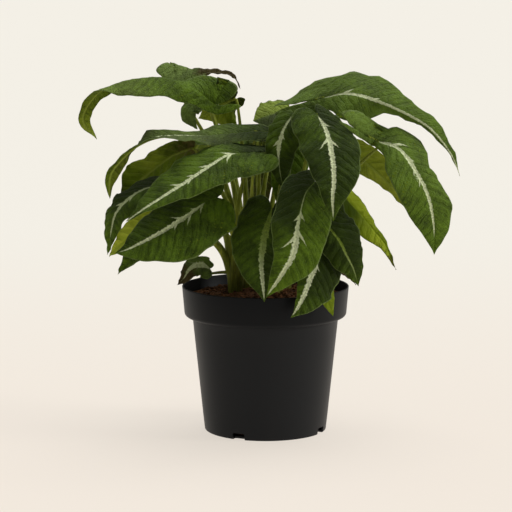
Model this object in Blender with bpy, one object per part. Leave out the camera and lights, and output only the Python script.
"""A young Syngonium in a black nursery pot.

The pot stands on the origin, +Z is up and -Y is the front. Lengths are given in millimetres and
turned into metres where a mesh is made. The plant is a group of short crowns, each with its stalks,
and one thin blade on the end of each stalk.
"""
import math

import bmesh
import bpy
import numpy as np
from mathutils import Vector

MM = 0.001

# Pot: a 12 cm nursery pot with a deep collar.
RIM_RADIUS = 60.0
POT_HEIGHT = 105.0
BASE_RADIUS = 44.0
FOOT_ROUND = 0.8
WALL_TOP_RADIUS = 52.6
COLLAR_RADIUS = 58.4
COLLAR_BOTTOM = 83.0
COLLAR_ROUND = 3.0
WALL = 1.2
FLOOR = 1.5
LIP_ROUND = 0.6
POT_SEGMENTS = 48

# Four drain slots are cut through the foot of the wall.
SLOT_COUNT = 4
SLOT_FIRST_ANGLE = -26.0
SLOT_WIDTH = 9.5
SLOT_HEIGHT = 4.8
SLOT_DEPTH = 6.5

# Potting mix: it fills the pot and is heaped round the crowns.
FIT_GAP = 0.3
SOIL_EDGE_HEIGHT = 97.5
SOIL_SHOULDER_HEIGHT = 99.5
SOIL_TOP = 102.0
SOIL_SEGMENTS = 40

# Crowns: the short stems that the stalks grow from, by letter and place.
CROWN_PLACE = {"a": (-22, -4), "b": (-11, 10), "c": (7, -9), "d": (14, 12), "e": (-8, 27)}
CROWN_FOOT = 86.0
CROWN_SHOULDER = 103.0
CROWN_TOP = 113.0
CROWN_FOOT_RADIUS = 5.2
CROWN_SHOULDER_RADIUS = 4.6
CROWN_TOP_RADIUS = 3.0
CROWN_SIDES = 14

# Stalks leave the crown upright and meet the blade square to its underside.
STALK_ROOT = 98.0
STALK_RISE = 114.0
STALK_APPROACH = 9.0
STALK_STEPS = 9
STALK_TAPER = (1.7, 1.45, 1.15, 0.85, 0.6)

# Blades: a thin sheet with a few rows along it and a few steps across each half.
BLADE_THICKNESS = 0.8
BLADE_ROWS = 10
BLADE_STEPS = 3
LOBE_BEND = 4.0
BLADE_GAP = 0.4
WAVE_HEIGHT = 1.2
WAVE_COUNT = 3.0

COLOURS = {
    "pot": ((0.014, 0.014, 0.015), 0.45),
    "soil": ((0.045, 0.018, 0.010), 0.95),
    "crown": ((0.20, 0.24, 0.05), 0.55),
    "green": ((0.035, 0.085, 0.018), 0.50),
    "gold": ((0.17, 0.20, 0.02), 0.50),
}
GOLD_BLADES = ("under_gold", "left_gold", "left_under", "right_gold", "right_behind", "rim_tip")

BLADES = []


def leaf(name, **shape):
    """Note down one blade and its stalk.

    rib is the line of the midrib from the stalk to the tip, and back is the point that the lobes
    reach towards behind the stalk. face lists the way the upper side looks, at even steps from base
    to tip. Each half has its widest reach, its slope at the midrib and its curl towards the margin,
    also at even steps. lobe is the length of the lobes as a share of the rib, peak is where the
    blade is widest, waist narrows it at the stalk, full keeps it broad towards the tip, droop bends
    the lobes down, and a notch below one brings them closer together. The stalk grows from the crown
    past the point via.
    """
    shape.setdefault("waist", 0.0)
    shape.setdefault("full", 1.0)
    shape.setdefault("droop", 0.0)
    shape.setdefault("notch", 1.0)
    BLADES.append(dict(shape, name=name))


# The largest leaf on the right arches out and tucks its front half under itself.
leaf("top_right", crown="c", via=(30, -12, 180), stalk=1.5,
     rib=[(43, 0, 240), (56, -8, 243), (71, -14, 241), (94, -20, 232), (115, -24, 220),
          (130, -24, 202), (137, -22, 186)],
     face=[(0, -0.6, 0.8), (0.1, -0.6, 0.8), (0.45, -0.6, 0.7), (0.7, -0.5, 0.45)],
     left_width=(27, 28, 19, 22, 22), left_fold=(10, 5), left_curl=(-20, -20),
     right_width=(14, 21, 20, 13, 9, 7, 7, 7, 7),
     right_fold=(-5, -10, -30, -105, -105, -100, -95, -95, -90), right_curl=(-25, -10, -5),
     back=(8, 0, 233), lobe=0.31, peak=0.18, waist=0.4, full=0.4, droop=-45, notch=0.4)
# Below it a leaf hangs out to the right, with one long lobe that reaches back to the left.
leaf("right_hang", crown="c", via=(44, -8, 170), stalk=1.5,
     rib=[(78, -24, 211), (93, -34, 206), (105, -41, 190), (113, -44, 173), (117, -43, 153),
          (118, -38, 132)],
     face=[(0.45, -0.85, 0.2), (0.35, -0.85, 0.4), (0.3, -0.9, 0.2), (0.25, -0.95, 0.0)],
     left_width=(17, 25, 13, 17, 24, 25), left_fold=(-5, 0), left_curl=(-20, -20),
     right_width=(5, 20, 20, 20, 16), right_fold=(5, 5), right_curl=(-20, -20),
     back=(50, -44, 229), lobe=0.36, peak=0.48, waist=0.25, notch=0.2)
# A broad leaf hangs straight down in front, right of the middle.
leaf("front_right", crown="c", via=(22, -20, 170), stalk=1.5,
     rib=[(36, -26, 230), (42, -40, 219), (45.5, -54, 204), (46.5, -64, 189), (45.5, -70, 175),
          (46, -72, 160)],
     face=[(0.0, -0.6, 0.8), (0.05, -0.9, 0.4), (0, -1, 0.1), (0, -1, 0.0)],
     left_width=(14, 23, 25, 26), left_fold=(-9, 0, 5), left_curl=(-24, -25, -15),
     right_width=(21,), right_fold=(0, 5), right_curl=(-25, -15),
     back=(31, -16, 236), lobe=0.15, peak=0.25)
# Two leaves hang over the front of the pot, their tips together at the rim: this is the nearer.
leaf("front_centre", crown="c", via=(20, -18, 145), stalk=1.5,
     rib=[(34, -42, 184), (27, -52, 176), (22, -62, 156), (19, -68, 138), (12, -70, 125), (0, -68, 107)],
     face=[(0, -0.8, 0.6), (0, -0.95, 0.25), (0.05, -1, 0.1), (0.1, -1, 0.1)],
     left_width=(22,), left_fold=(0, 5), left_curl=(-20, -15),
     right_width=(18,), right_fold=(0, 5), right_curl=(-20, -15),
     back=(38, -34, 190), lobe=0.12, peak=0.38)
# The second of the pair hangs to the left, behind the first.
leaf("front_low", crown="c", via=(2, -14, 140), stalk=1.5,
     rib=[(4, -30, 163), (1, -38, 152), (-2, -45, 140), (-3, -52, 126), (-2, -58, 114), (-1, -63, 103)],
     face=[(-0.1, -0.8, 0.5), (-0.1, -0.95, 0.3), (0, -1, 0.3), (0, -1, 0.3)],
     left_width=(20,), left_fold=(0, 5), left_curl=(-20, -15),
     right_width=(23,), right_fold=(0, 5), right_curl=(-20, -15),
     back=(6, -24, 172), lobe=0.17, peak=0.3)
# A broad leaf lies low at the left and faces the viewer.
leaf("left_low", crown="a", via=(-22, -16, 140), stalk=1.5,
     rib=[(-34, -32, 172), (-41, -37, 170), (-51, -44, 163), (-64, -52, 155), (-79, -58, 147),
          (-94, -62, 140), (-104, -62, 137)],
     face=[(-0.2, -0.8, 0.55), (-0.2, -0.8, 0.55), (-0.2, -0.8, 0.55)],
     left_width=(29,), left_fold=(0, 0), left_curl=(-20, -20),
     right_width=(22,), right_fold=(5, 5), right_curl=(-15, -15),
     back=(-26, -30, 174), lobe=0.1, peak=0.42)
# The big leaf above it points down to the left.
leaf("left_big", crown="a", via=(-12, -14, 150), stalk=1.5,
     rib=[(-9, -24, 203), (-26, -34, 202), (-42, -44, 193), (-58, -52, 183), (-73, -58, 174),
          (-86, -62, 166), (-96, -62, 159)],
     face=[(0, -0.45, 0.9), (-0.1, -0.6, 0.8), (-0.2, -0.65, 0.75)],
     left_width=(24, 22, 17, 13, 12), left_fold=(0, 0), left_curl=(-25, -15),
     right_width=(18, 22, 26, 26, 26), right_fold=(0, 5), right_curl=(-20, -15),
     back=(12, -18, 202), lobe=0.16, peak=0.3, notch=0.75)
# A narrow leaf arches over to the left, twists at its neck and shows its underside near the tip.
leaf("left_arch", crown="a", via=(-20, 4, 160), stalk=1.5,
     rib=[(-10, -1, 216), (-43, -12, 214), (-60, -18, 214), (-76, -22, 213), (-89, -26, 208),
          (-100, -28, 199), (-109, -27, 187), (-110, -22, 170)],
     face=[(0, -0.3, 1), (0, -0.35, 1), (-0.4, 0.1, 0.9), (-0.7, 0.6, 0.3), (-0.5, 0.85, 0)],
     left_width=(14, 13, 13, 13, 7, 4, 15, 22), left_fold=(0, -5), left_curl=(-20, -15),
     right_width=(15, 17, 14, 9, 8, 12, 8, 15, 23, 26), right_fold=(5, 5, 5, 6, 40, 60, 30, 0, -5, -5),
     right_curl=(-10, -10),
     back=(20, 1, 214), lobe=0.14, peak=0.35, notch=0.3)
# The highest leaf on the left is long, and its tip curls down like a hook.
leaf("top_left", crown="b", via=(-24, 16, 180), stalk=1.5,
     rib=[(-37, 8, 235), (-52, 2, 247), (-71, -2, 254), (-89, -6, 254), (-104, -8, 251),
          (-118, -8, 244), (-128, -6, 231), (-129, -4, 221), (-120, -2, 210)],
     face=[(0.1, -0.8, 0.6), (0, -0.6, 0.8), (0, -0.5, 0.9), (-0.3, -0.1, 0.95), (-0.5, 0.8, 0.3),
           (-0.5, 0.85, 0)],
     left_width=(8, 15, 22, 25, 15, 13), left_fold=(-5, -10), left_curl=(-20, -15),
     right_width=(22, 15, 15, 15, 14, 44), right_fold=(30, -22, -45, -42, -25, -10, -5, -5),
     right_curl=(-10, -30, -20),
     back=(-16, 12, 238), lobe=0.15, peak=0.2)
# Behind it a leaf lies nearly flat and points right, with one lobe standing up as a hump.
leaf("top_back", crown="b", via=(-34, 24, 190), stalk=1.5,
     rib=[(-63, 30, 249), (-52, 32, 253), (-42, 34, 256), (-32, 36, 256), (-23, 36, 253), (-18, 34, 244)],
     face=[(-0.1, -0.8, 0.5), (-0.1, -0.7, 0.7), (0, -0.6, 0.8), (0.4, -0.6, 0.6), (0.8, -0.5, 0.2)],
     left_width=(18, 10, 5, 4, 6, 4), left_fold=(0, 0), left_curl=(0, 0),
     right_width=(12, 6, 3, 3, 4, 3), right_fold=(0, 0), right_curl=(0, -10),
     back=(-80, 28, 252), lobe=0.33, peak=0.08)
# A small leaf hangs below the hooked one, its dark upper side turned left.
leaf("under_top", crown="b", via=(-22, 22, 180), stalk=1.5,
     rib=[(-37, 23, 235), (-46, 19, 237), (-55, 17, 231), (-56, 15, 225), (-49, 13, 216)],
     face=[(0, -0.6, 0.8), (-0.5, -0.7, 0.5), (-0.6, -0.8, 0)],
     left_width=(8, 9, 12, 14), left_fold=(0, 0), left_curl=(-10, -10),
     right_width=(8,), right_fold=(0, 0), right_curl=(-10, -10),
     back=(-33, 24, 235), lobe=0.08, peak=0.35)
# Beside it a yellow-green leaf shows its underside, with a lobe standing up at the right.
leaf("under_gold", crown="b", via=(-15, 28, 180), stalk=1.5,
     rib=[(-24, 34, 236), (-30, 34, 233), (-39, 36, 228), (-49, 38, 222)],
     face=[(0, 0.8, 0.6), (0, 0.85, 0.5), (0, 0.9, 0.4)],
     left_width=(10,), left_fold=(0, 0), left_curl=(10, 10),
     right_width=(10, 22, 22, 18, 14), right_fold=(0, 0), right_curl=(10, 10),
     back=(-12, 30, 244), lobe=0.26, peak=0.22)
# A leaf seen from below fills the space under the arching one.
leaf("left_under", crown="b", via=(-26, 10, 160), stalk=1.5,
     rib=[(-53, 12, 203), (-62, 10, 200), (-70, 8, 196), (-88, 4, 182), (-104, 0, 167)],
     face=[(-0.3, 0.7, 0.6), (-0.4, 0.75, 0.5), (-0.5, 0.8, 0.3)],
     left_width=(10, 12, 14, 19, 20), left_fold=(0, 0), left_curl=(10, 10),
     right_width=(13,), right_fold=(0, 0), right_curl=(10, 10),
     back=(-44, 14, 208), lobe=0.06, peak=0.6)
# A dark leaf droops at the far left.
leaf("left_dark", crown="a", via=(-32, -8, 150), stalk=1.5,
     rib=[(-71, -22, 181), (-86, -27, 177), (-96, -33, 171), (-102, -36, 165), (-106, -38, 158),
          (-109, -38, 144), (-111, -36, 132)],
     face=[(-0.3, -0.5, 0.8), (-0.5, -0.6, 0.6), (-0.7, -0.7, 0.2), (-0.6, -0.8, 0)],
     left_width=(13, 13, 11, 11), left_fold=(0, 0), left_curl=(-30, -30),
     right_width=(15, 15, 14, 11), right_fold=(0, 0), right_curl=(-20, -20),
     back=(-58, -18, 183), lobe=0.12, peak=0.4)
# A pale leaf shows a strip of its underside between the dark leaf and the broad one.
leaf("left_gold", crown="a", via=(-34, -12, 135), stalk=1.5,
     rib=[(-68, -22, 162), (-82, -27, 153), (-96, -33, 143), (-110, -38, 131)],
     face=[(-0.4, 0.85, 0.4), (-0.4, 0.85, 0.4)],
     left_width=(13,), left_fold=(0, 0), left_curl=(10, 10),
     right_width=(9,), right_fold=(0, 0), right_curl=(10, 10),
     back=(-62, -20, 164), lobe=0.1, peak=0.45)
# Only the tip of this leaf comes out under the broad one.
leaf("left_tip", crown="a", via=(-36, 3, 136), stalk=1.5,
     rib=[(-66, -14, 152), (-82, -20, 144), (-92, -24, 132), (-99, -24, 124), (-105, -22, 116)],
     face=[(-0.3, -0.8, 0.5), (-0.4, -0.9, 0.2)],
     left_width=(10,), left_fold=(0, 0), left_curl=(-10, -10),
     right_width=(11,), right_fold=(0, 0), right_curl=(-10, -10),
     back=(-56, -10, 156), lobe=0.12, peak=0.3)
# A small wilted leaf rests over the left rim.
leaf("rim_small", crown="a", via=None, stalk=0.9,
     rib=[(-40, -12, 119), (-47, -15, 122), (-54, -18, 119), (-58, -20, 113), (-63, -20, 108)],
     face=[(0, -0.8, 0.6), (-0.4, -0.8, 0.4), (-0.7, -0.7, 0)],
     left_width=(9,), left_fold=(0, 0), left_curl=(-20, -20),
     right_width=(8,), right_fold=(0, 0), right_curl=(-20, -20),
     back=(-36, -10, 117), lobe=0.1, peak=0.3)
# A narrow leaf hangs in the shade behind the broad front one and shows a wide pale stripe.
leaf("centre_stripe", crown="c", via=(10, -8, 170), stalk=1.5,
     rib=[(19, -12, 228), (14, -16, 221), (11, -19, 214), (9, -22, 204), (10, -24, 190), (13, -24, 175)],
     face=[(0, -0.5, 0.86), (0, -0.9, 0.4), (0, -1, 0.1)],
     left_width=(14,), left_fold=(0, 0), left_curl=(-20, -20),
     right_width=(11,), right_fold=(0, 0), right_curl=(-20, -20),
     back=(22, -6, 232), lobe=0.1, peak=0.3)
# A small round leaf stands at the top, between the left and right halves of the plant.
leaf("small_top", crown="b", via=(0, 22, 180), stalk=1.5,
     rib=[(11, 26, 228), (2, 20, 226), (-9, 16, 222)],
     face=[(0, -0.8, 0.6), (-0.1, -0.9, 0.5)],
     left_width=(15,), left_fold=(0, 0), left_curl=(-20, -20),
     right_width=(13,), right_fold=(0, 0), right_curl=(-20, -20),
     back=(15, 28, 228), lobe=0.4, peak=0.3)
# A dark leaf hangs low at the right, in front of the rim.
leaf("right_low", crown="c", via=(26, -14, 140), stalk=1.5,
     rib=[(36, -40, 166), (44, -47, 153), (51, -51, 144), (56, -52, 134), (61, -50, 124), (65, -46, 111)],
     face=[(0.2, -0.85, 0.5), (0.3, -0.95, 0.2)],
     left_width=(20, 19, 17, 16), left_fold=(0, 0), left_curl=(-20, -20),
     right_width=(15,), right_fold=(-10, -10), right_curl=(-20, -20),
     back=(32, -36, 172), lobe=0.15, peak=0.4)
# The lowest leaf hangs over the rim in front.
leaf("rim_front", crown="c", via=(30, -18, 130), stalk=1.5,
     rib=[(42, -36, 145), (38, -46, 136), (33, -56, 124), (28, -64, 112), (23, -69, 102), (17, -71, 93)],
     face=[(0.3, -0.7, 0.6), (0.25, -0.9, 0.2), (0.15, -0.95, 0.2)],
     left_width=(21,), left_fold=(0, 0), left_curl=(-20, -20),
     right_width=(13, 12, 8, 6), right_fold=(-20, -20), right_curl=(-30, -30),
     back=(44, -30, 149), lobe=0.1, peak=0.48)
# The tip of a small yellow-green leaf shows beside it.
leaf("rim_tip", crown="c", via=(24, -20, 122), stalk=1.5,
     rib=[(38, -42, 124), (41, -49, 111), (43, -52, 102), (47, -53, 91)],
     face=[(0.2, -0.9, 0.2), (0.2, -0.95, 0.1)],
     left_width=(6,), left_fold=(0, 0), left_curl=(-10, -10),
     right_width=(5,), right_fold=(0, 0), right_curl=(-10, -10),
     back=(37, -40, 128), lobe=0.1, peak=0.5)
# A yellow-green leaf hangs out at the right, below the hanging one.
leaf("right_gold", crown="d", via=(30, 12, 140), stalk=1.5,
     rib=[(50, 8, 178), (59, 8, 166), (69, 6, 155), (78, 4, 144), (86, 2, 134), (94, 0, 116)],
     face=[(0.2, -0.7, 0.7), (0.3, -0.85, 0.5), (0.4, -0.9, 0.3)],
     left_width=(10, 9, 5, 3, 4), left_fold=(5, 5), left_curl=(-10, -10),
     right_width=(8, 11, 11, 8, 6), right_fold=(0, 0), right_curl=(-20, -20),
     back=(38, 8, 190), lobe=0.2, peak=0.42)
# Another one shows its underside behind the hanging leaf.
leaf("right_behind", crown="d", via=(30, 20, 155), stalk=1.5,
     rib=[(61, 24, 200), (78, 28, 187), (96, 26, 170), (110, 22, 154), (122, 16, 138)],
     face=[(0.2, 0.8, 0.6), (0.3, 0.85, 0.5)],
     left_width=(12, 11, 7, 7, 8), left_fold=(0, 0), left_curl=(10, 10),
     right_width=(14,), right_fold=(0, 0), right_curl=(10, 10),
     back=(52, 22, 206), lobe=0.1, peak=0.3)
# A thin dry leaf reaches over the right rim.
leaf("rim_dry", crown="d", via=None, stalk=0.8,
     rib=[(48, -10, 118), (56, -8, 115), (61, -7, 111), (65, -6, 106)],
     face=[(0.3, -0.3, 0.9), (0.8, -0.3, 0.4)],
     left_width=(3,), left_fold=(0, 0), left_curl=(-10, -10),
     right_width=(3,), right_fold=(0, 0), right_curl=(-10, -10),
     back=(45, -10, 119), lobe=0.1, peak=0.4)
# A leaf fills the dark middle between the hanging ones.
leaf("centre_dark", crown="d", via=(18, 10, 150), stalk=1.5,
     rib=[(21, 7, 204), (19, 1, 195), (17, -3, 181), (16, -5, 166), (15, -5, 150)],
     face=[(0, -0.7, 0.7), (0, -0.95, 0.2), (0, -1, 0.1)],
     left_width=(12,), left_fold=(0, 0), left_curl=(-20, -20),
     right_width=(14,), right_fold=(0, 0), right_curl=(-20, -20),
     back=(22, 12, 207), lobe=0.12, peak=0.35)
# The back of the plant, which the front hides, has seven leaves of the same kind.
leaf("back_mid", crown="e", via=(-6, 36, 150), stalk=1.5,
     rib=[(-3, 46, 206), (-4, 58, 208), (-6, 76, 198), (-6, 90, 172), (-4, 99, 134)],
     face=[(0, 0.3, 1), (0, 0.6, 0.8), (0, 0.9, 0.4)],
     left_width=(10, 12, 16, 18), left_fold=(0, 0), left_curl=(-20, -20),
     right_width=(10, 12, 16, 18), right_fold=(0, 0), right_curl=(-20, -20),
     back=(-3, 36, 206), lobe=0.12, peak=0.35)
leaf("back_left", crown="e", via=(-20, 36, 150), stalk=1.5,
     rib=[(-27, 42, 205), (-37, 57, 208), (-48, 72, 202), (-57, 86, 187), (-62, 94, 167)],
     face=[(-0.2, 0.2, 1), (-0.4, 0.5, 0.8), (-0.6, 0.7, 0.4)],
     left_width=(19,), left_fold=(0, 0), left_curl=(-20, -20),
     right_width=(19,), right_fold=(0, 0), right_curl=(-20, -20),
     back=(-22, 34, 201), lobe=0.12, peak=0.35)
leaf("back_right", crown="d", via=(22, 26, 150), stalk=1.5,
     rib=[(25, 40, 204), (36, 55, 208), (50, 70, 202), (61, 84, 188), (68, 92, 168)],
     face=[(0.2, 0.2, 1), (0.4, 0.5, 0.8), (0.6, 0.7, 0.4)],
     left_width=(18,), left_fold=(0, 0), left_curl=(-20, -20),
     right_width=(18,), right_fold=(0, 0), right_curl=(-20, -20),
     back=(19, 34, 200), lobe=0.08, peak=0.35)
leaf("back_low_left", crown="e", via=(-20, 32, 130), stalk=1.5,
     rib=[(-34, 36, 150), (-46, 50, 150), (-58, 60, 142), (-68, 68, 130), (-74, 72, 118)],
     face=[(-0.3, 0.3, 0.9), (-0.5, 0.6, 0.6), (-0.6, 0.7, 0.3)],
     left_width=(16,), left_fold=(0, 0), left_curl=(-20, -20),
     right_width=(16,), right_fold=(0, 0), right_curl=(-20, -20),
     back=(-28, 30, 148), lobe=0.15, peak=0.35)
leaf("back_low_right", crown="d", via=(22, 30, 130), stalk=1.5,
     rib=[(30, 42, 150), (40, 54, 150), (51, 66, 142), (60, 74, 128), (66, 78, 114)],
     face=[(0.3, 0.3, 0.9), (0.5, 0.6, 0.6), (0.6, 0.7, 0.3)],
     left_width=(16,), left_fold=(0, 0), left_curl=(-20, -20),
     right_width=(16,), right_fold=(0, 0), right_curl=(-20, -20),
     back=(22, 36, 148), lobe=0.15, peak=0.35)
leaf("back_low_mid", crown="e", via=(-5, 38, 125), stalk=1.5,
     rib=[(-4, 50, 146), (-6, 62, 144), (-8, 74, 134), (-9, 82, 120), (-9, 88, 104)],
     face=[(0, 0.4, 0.9), (0, 0.7, 0.6), (0, 0.9, 0.2)],
     left_width=(15,), left_fold=(0, 0), left_curl=(-20, -20),
     right_width=(15,), right_fold=(0, 0), right_curl=(-20, -20),
     back=(-3, 42, 146), lobe=0.15, peak=0.35)
leaf("back_top", crown="e", via=(6, 34, 165), stalk=1.5,
     rib=[(8, 42, 214), (11, 51, 220), (15, 62, 219), (19, 74, 211), (23, 82, 195)],
     face=[(0, 0, 1), (0.1, 0.4, 0.9), (0.3, 0.8, 0.4)],
     left_width=(14,), left_fold=(0, 0), left_curl=(-20, -20),
     right_width=(14,), right_fold=(0, 0), right_curl=(-20, -20),
     back=(6, 34, 210), lobe=0.15, peak=0.35)


def unit(vector):
    """The same direction, one long."""
    vector = np.asarray(vector, float)
    return vector / np.linalg.norm(vector)


def along(values, share):
    """The value at a share of the way through evenly spaced values."""
    stations = np.linspace(0.0, 1.0, len(values))
    return float(np.interp(share, stations, values))


def smooth_curve(points, count):
    """Evenly spaced points on a smooth curve through the given ones, and its length."""
    knots = np.array(points, float)
    first = 2 * knots[0] - knots[1]
    last = 2 * knots[-1] - knots[-2]
    knots = np.vstack([first, knots, last])
    dense = []
    for k in range(len(knots) - 3):
        a, b, c, d = knots[k:k + 4]
        for t in np.linspace(0.0, 1.0, 24, endpoint=False):
            straight = 2 * b + (c - a) * t
            bend = (2 * a - 5 * b + 4 * c - d) * t ** 2
            ease = (3 * b - a - 3 * c + d) * t ** 3
            dense.append(0.5 * (straight + bend + ease))
    dense.append(knots[-2])
    dense = np.array(dense)
    steps = np.linalg.norm(np.diff(dense, axis=0), axis=1)
    walked = np.concatenate([[0.0], np.cumsum(steps)])
    wanted = np.linspace(0.0, walked[-1], count)
    columns = [np.interp(wanted, walked, dense[:, axis]) for axis in range(dense.shape[1])]
    return np.stack(columns, axis=-1), walked[-1]


def half_outline(shape, rows):
    """One half of the blade's outline, from the notch at the stalk round the lobe to the tip.

    The first number of each pair is a share of the length and the second a share of the width.
    """
    lobe = shape["lobe"]
    peak = shape["peak"]
    rest = 1.0 - peak
    full = shape["full"]
    notch = shape["notch"]
    knots = [(0.0, 0.0), (-0.62 * lobe, 0.13 * notch), (-lobe, 0.22 + 0.22 * notch), (-0.62 * lobe, 0.80),
             (0.04, 0.97 - 0.45 * shape["waist"]), (peak, 1.0),
             (peak + 0.38 * rest, 0.74 + 0.09 * full),
             (peak + 0.70 * rest, 0.32 + 0.12 * full),
             (peak + 0.90 * rest, 0.08 + 0.05 * full), (1.0, 0.0)]
    stretch = 2.2
    curve, _ = smooth_curve([(stretch * u, v) for u, v in knots], rows + 1)
    return curve[:, 0] / stretch, curve[:, 1]


class Blade:
    """The curved surface of one blade, read by share of length and share of width."""

    def __init__(self, shape):
        self.shape = shape
        self.base = np.array(shape["rib"][0], float)
        self.line, self.length = smooth_curve(shape["rib"], 121)
        slopes = np.gradient(self.line, axis=0)
        self.slopes = slopes / np.linalg.norm(slopes, axis=1)[:, None]
        self.start = unit(self.line[1] - self.line[0])
        self.behind = unit(np.array(shape["back"], float) - self.base)

    def frame(self, u):
        """Place, forward direction and upward direction of the midrib line at u."""
        if u >= 0.0:
            stations = np.linspace(0.0, 1.0, len(self.line))
            place = np.array([np.interp(u, stations, self.line[:, i]) for i in range(3)])
            forward = unit([np.interp(u, stations, self.slopes[:, i]) for i in range(3)])
        else:
            reach = -u * self.length
            near = min(reach, LOBE_BEND)
            turn = near / LOBE_BEND
            place = self.base - self.start * near * (1.0 - turn / 2.0)
            place = place + self.behind * (near * turn / 2.0 + max(0.0, reach - LOBE_BEND))
            forward = -unit(-self.start * (1.0 - turn) + self.behind * turn)
        faces = [unit(face) for face in self.shape["face"]]
        upward = np.array([along([face[i] for face in faces], max(u, 0.0)) for i in range(3)])
        upward = unit(upward - forward * (upward @ forward))
        return place, forward, upward

    def point(self, u, v, side):
        """A point of the surface; side is +1 on the left half and -1 on the right half."""
        place, forward, upward = self.frame(u)
        outward = np.cross(upward, forward) * side
        half = "left" if side > 0 else "right"
        share = min(1.0, max(0.0, u))
        width = along(self.shape[half + "_width"], share)
        fold = math.radians(along(self.shape[half + "_fold"], share))
        curl = math.radians(along(self.shape[half + "_curl"], share))
        sunk = min(1.0, max(0.0, -u) / max(self.shape["lobe"], 0.01))
        fold += math.radians(self.shape["droop"]) * sunk
        if abs(curl) < 0.0001:
            across = v * width * math.cos(fold)
            rise = v * width * math.sin(fold)
        else:
            across = width / curl * (math.sin(fold + curl * v) - math.sin(fold))
            rise = -width / curl * (math.cos(fold + curl * v) - math.cos(fold))
        slope = fold + curl * v
        phase = 0.9 if side > 0 else 0.0
        wave = WAVE_HEIGHT * math.sin(2 * math.pi * WAVE_COUNT * u + phase) * v * v * width / 20.0
        across -= wave * math.sin(slope)
        rise += wave * math.cos(slope)
        return place + outward * across + upward * rise

    def rows(self, count, steps):
        """Rows of points from the stalk to the tip, each from the right margin to the left one."""
        outline_u, outline_v = half_outline(self.shape, count)
        grid = []
        for i in range(count + 1):
            middle = (i / count) ** 1.45
            row = []
            for j in range(-steps, steps + 1):
                reach = abs(j) / steps
                u = middle + (outline_u[i] - middle) * reach ** 1.3
                v = outline_v[i] * reach
                row.append(self.point(u, v, 1 if j >= 0 else -1))
            grid.append(row)
        return grid


def make_material(name):
    """A plain material in the piece's own colour."""
    colour, roughness = COLOURS[name]
    material = bpy.data.materials.new(name)
    material.use_nodes = True
    shader = material.node_tree.nodes["Principled BSDF"]
    shader.inputs["Base Color"].default_value = (*colour, 1.0)
    shader.inputs["Roughness"].default_value = roughness
    return material


def place_object(name, mesh, material_name):
    """Link a mesh as a named object with a material of its own."""
    mesh.name = name
    item = bpy.data.objects.new(name, mesh)
    bpy.context.scene.collection.objects.link(item)
    item.data.materials.clear()
    item.data.materials.append(make_material(material_name))
    return item


def turned_mesh(profile, segments):
    """A solid of revolution; the profile of (radius, height) starts and ends on the axis."""
    work = bmesh.new()
    rings = []
    for radius, height in profile:
        if radius == 0.0:
            rings.append([work.verts.new((0.0, 0.0, height * MM))])
            continue
        ring = []
        for k in range(segments):
            angle = 2 * math.pi * k / segments
            ring.append(work.verts.new((radius * MM * math.cos(angle),
                                        radius * MM * math.sin(angle), height * MM)))
        rings.append(ring)
    for lower, upper in zip(rings, rings[1:]):
        for k in range(segments):
            after = (k + 1) % segments
            if len(lower) == 1:
                work.faces.new((lower[0], upper[after], upper[k]))
            elif len(upper) == 1:
                work.faces.new((lower[k], lower[after], upper[0]))
            else:
                work.faces.new((lower[k], lower[after], upper[after], upper[k]))
    mesh = bpy.data.meshes.new("turned")
    work.to_mesh(mesh)
    work.free()
    return mesh


def hide_tool(item):
    """Mark an object as a cutter, so that it isn't part of the model."""
    item.hide_render = True
    item.display_type = "WIRE"


def cut(item, cutter):
    """Take the cutter's shape out of an object."""
    hide_tool(cutter)
    modifier = item.modifiers.new(cutter.name, "BOOLEAN")
    modifier.operation = "DIFFERENCE"
    modifier.object = cutter
    modifier.solver = "EXACT"


def arc(centre, radius, first, last, count):
    """Points (radius, height) along an arc of a profile, angles in degrees."""
    points = []
    for k in range(count + 1):
        angle = math.radians(first + (last - first) * k / count)
        points.append((centre[0] + radius * math.cos(angle), centre[1] + radius * math.sin(angle)))
    return points


def wall_radius(height):
    """Outer radius of the tapered wall below the collar."""
    return BASE_RADIUS + (WALL_TOP_RADIUS - BASE_RADIUS) * height / COLLAR_BOTTOM


def inner_profile(gap):
    """The inside of the pot from the floor to the collar, moved in by a gap."""
    step = COLLAR_BOTTOM + WALL
    return [(wall_radius(0.0) - WALL - gap, FLOOR + gap),
            (wall_radius(step) - WALL - gap, step + gap),
            (COLLAR_RADIUS - COLLAR_ROUND - WALL - gap, step + gap),
            (COLLAR_RADIUS - WALL - gap, step + COLLAR_ROUND + gap)]


def build_pot():
    """Thin tapered wall, round-edged collar, round lip and flat base."""
    foot = [(0.0, 0.0), (BASE_RADIUS - FOOT_ROUND, 0.0), (BASE_RADIUS, FOOT_ROUND)]
    corner = [(wall_radius(COLLAR_BOTTOM), COLLAR_BOTTOM)]
    edge_middle = (COLLAR_RADIUS - COLLAR_ROUND, COLLAR_BOTTOM + COLLAR_ROUND)
    edge = arc(edge_middle, COLLAR_ROUND, -90, 0, 4)
    lip_middle = (RIM_RADIUS - LIP_ROUND, POT_HEIGHT - LIP_ROUND)
    lip = arc(lip_middle, LIP_ROUND, 0, 180, 4)
    inside = list(reversed(inner_profile(0.0)))
    profile = foot + corner + edge + lip + inside + [(0.0, FLOOR)]
    pot = place_object("pot", turned_mesh(profile, POT_SEGMENTS), "pot")
    for index in range(SLOT_COUNT):
        cut(pot, slot_cutter(index))
    pot.data.shade_smooth()
    pot.data.set_sharp_from_angle(angle=math.radians(40))
    return pot


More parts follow.
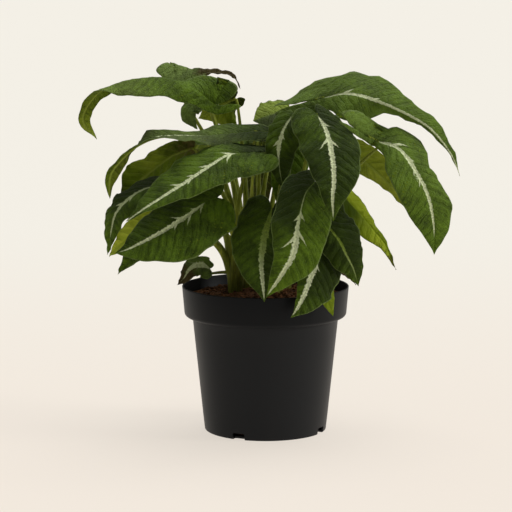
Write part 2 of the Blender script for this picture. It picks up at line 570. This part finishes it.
def slot_cutter(index):
    """A block that cuts one drain slot out of the foot of the wall."""
    angle = math.radians(SLOT_FIRST_ANGLE - 90.0 + 360.0 * index / SLOT_COUNT)
    middle = BASE_RADIUS + 1.5 - SLOT_DEPTH / 2.0
    bpy.ops.mesh.primitive_cube_add(size=1.0)
    cutter = bpy.context.object
    cutter.name = f"slot_cutter_{index}"
    cutter.scale = (SLOT_DEPTH * MM, SLOT_WIDTH * MM, 2.0 * SLOT_HEIGHT * MM)
    cutter.rotation_euler.z = angle
    cutter.location = (middle * MM * math.cos(angle), middle * MM * math.sin(angle), 0.0)
    return cutter


def build_soil():
    """Potting mix that fills the pot with a small gap, with a plain hole round each crown."""
    inside = inner_profile(FIT_GAP)
    top = [(COLLAR_RADIUS - WALL - FIT_GAP, SOIL_EDGE_HEIGHT), (44.0, SOIL_SHOULDER_HEIGHT),
           (22.0, SOIL_TOP - 0.8), (0.0, SOIL_TOP)]
    profile = [(0.0, FLOOR + FIT_GAP)] + inside + top
    soil = place_object("soil", turned_mesh(profile, SOIL_SEGMENTS), "soil")
    for letter, (x, y) in CROWN_PLACE.items():
        bottom = CROWN_FOOT - FIT_GAP
        top_height = SOIL_TOP + 5.0
        bpy.ops.mesh.primitive_cylinder_add(
            vertices=CROWN_SIDES, radius=(CROWN_FOOT_RADIUS + FIT_GAP * 1.4) * MM,
            depth=(top_height - bottom) * MM,
            location=(x * MM, y * MM, (top_height + bottom) / 2.0 * MM))
        cutter = bpy.context.object
        cutter.name = f"hole_cutter_{letter}"
        cut(soil, cutter)
    return soil


def stalk_points(shape):
    """The line of one stalk, from inside its crown to just under its blade."""
    blade = Blade(shape)
    _, _, upward = blade.frame(0.0)
    x, y = CROWN_PLACE[shape["crown"]]
    away = unit([blade.base[0] - x, blade.base[1] - y, 0.0])
    root = np.array([x, y, STALK_ROOT]) + away * 1.5
    rise = np.array([x, y, STALK_RISE]) + away * 3.0
    end = blade.base - upward * BLADE_THICKNESS / 2.0 - upward * BLADE_GAP
    near = blade.base - upward * STALK_APPROACH + blade.behind * 2.0
    points = [root, rise, near, end]
    if np.linalg.norm(near - rise) < 14.0:
        points[1] = (rise + near) / 2.0
        points.pop(2)
        points.insert(2, near)
    elif shape["via"] is not None:
        points.insert(2, np.array(shape["via"], float))
    return smooth_curve(points, STALK_STEPS + 1)[0]


def stalk_object(shape):
    """One stalk as a tapering round tube with closed ends."""
    curve = bpy.data.curves.new("stalk_" + shape["name"], "CURVE")
    curve.dimensions = "3D"
    curve.bevel_depth = shape["stalk"] * MM
    curve.bevel_resolution = 1
    curve.use_fill_caps = True
    line = stalk_points(shape)
    spline = curve.splines.new("POLY")
    spline.points.add(len(line) - 1)
    for k, place in enumerate(line):
        spline.points[k].co = (*(place * MM), 1.0)
        spline.points[k].radius = along(STALK_TAPER, k / (len(line) - 1))
    item = bpy.data.objects.new(curve.name, curve)
    bpy.context.scene.collection.objects.link(item)
    return item


def crown_mesh():
    """The short stem: a round post that narrows towards its top."""
    profile = [(0.0, CROWN_FOOT), (CROWN_FOOT_RADIUS, CROWN_FOOT),
               (CROWN_SHOULDER_RADIUS, CROWN_SHOULDER), (CROWN_TOP_RADIUS, CROWN_TOP),
               (0.0, CROWN_TOP + 1.0)]
    return turned_mesh(profile, CROWN_SIDES)


def plain_mesh(item):
    """The mesh that an object shows, with its modifiers in it."""
    bpy.context.view_layer.update()
    graph = bpy.context.evaluated_depsgraph_get()
    return bpy.data.meshes.new_from_object(item.evaluated_get(graph))


def build_crown(letter):
    """One crown with its stalks, joined into one body."""
    crown = place_object("crown_" + letter, crown_mesh(), "crown")
    crown.location = (CROWN_PLACE[letter][0] * MM, CROWN_PLACE[letter][1] * MM, 0.0)
    stalks = bpy.data.collections.new("stalks_" + letter)
    bpy.context.scene.collection.children.link(stalks)
    for shape in BLADES:
        if shape["crown"] != letter:
            continue
        tube = stalk_object(shape)
        mesh = plain_mesh(tube)
        solid = bpy.data.objects.new(tube.name + "_solid", mesh)
        stalks.objects.link(solid)
        bpy.data.objects.remove(tube)
    join = crown.modifiers.new("join", "BOOLEAN")
    join.operation = "UNION"
    join.operand_type = "COLLECTION"
    join.collection = stalks
    join.solver = "EXACT"
    mesh = plain_mesh(crown)
    crown.modifiers.clear()
    crown.data = mesh
    crown.data.name = crown.name
    for solid in list(stalks.objects):
        bpy.data.objects.remove(solid)
    bpy.data.collections.remove(stalks)
    return crown


def build_blade(shape):
    """One blade: a sheet of triangles, thickened to both sides alike."""
    blade = Blade(shape)
    grid = blade.rows(BLADE_ROWS, BLADE_STEPS)
    work = bmesh.new()
    first = work.verts.new(Vector(grid[0][BLADE_STEPS]) * MM)
    last = work.verts.new(Vector(grid[-1][BLADE_STEPS]) * MM)
    rows = []
    for row in grid[1:-1]:
        rows.append([work.verts.new(Vector(place) * MM) for place in row])
    width = 2 * BLADE_STEPS
    for j in range(width):
        work.faces.new((first, rows[0][j], rows[0][j + 1]))
        work.faces.new((rows[-1][j], last, rows[-1][j + 1]))
    for near, far in zip(rows, rows[1:]):
        for j in range(width):
            if j < BLADE_STEPS:
                work.faces.new((near[j], far[j], near[j + 1]))
                work.faces.new((near[j + 1], far[j], far[j + 1]))
            else:
                work.faces.new((near[j], far[j], far[j + 1]))
                work.faces.new((near[j], far[j + 1], near[j + 1]))
    work.normal_update()
    if rows[2][BLADE_STEPS].normal.dot(Vector(blade.frame(0.3)[2])) < 0.0:
        bmesh.ops.reverse_faces(work, faces=work.faces)
    mesh = bpy.data.meshes.new("leaf_" + shape["name"])
    work.to_mesh(mesh)
    work.free()
    tone = "gold" if shape["name"] in GOLD_BLADES else "green"
    item = place_object("leaf_" + shape["name"], mesh, tone)
    thicken = item.modifiers.new("thicken", "SOLIDIFY")
    thicken.thickness = BLADE_THICKNESS * MM
    thicken.offset = 0.0
    item.data.shade_smooth()
    return item


def main():
    for old in list(bpy.data.objects):
        bpy.data.objects.remove(old)
    build_pot()
    build_soil()
    for letter in CROWN_PLACE:
        build_crown(letter)
    for shape in BLADES:
        build_blade(shape)


main()
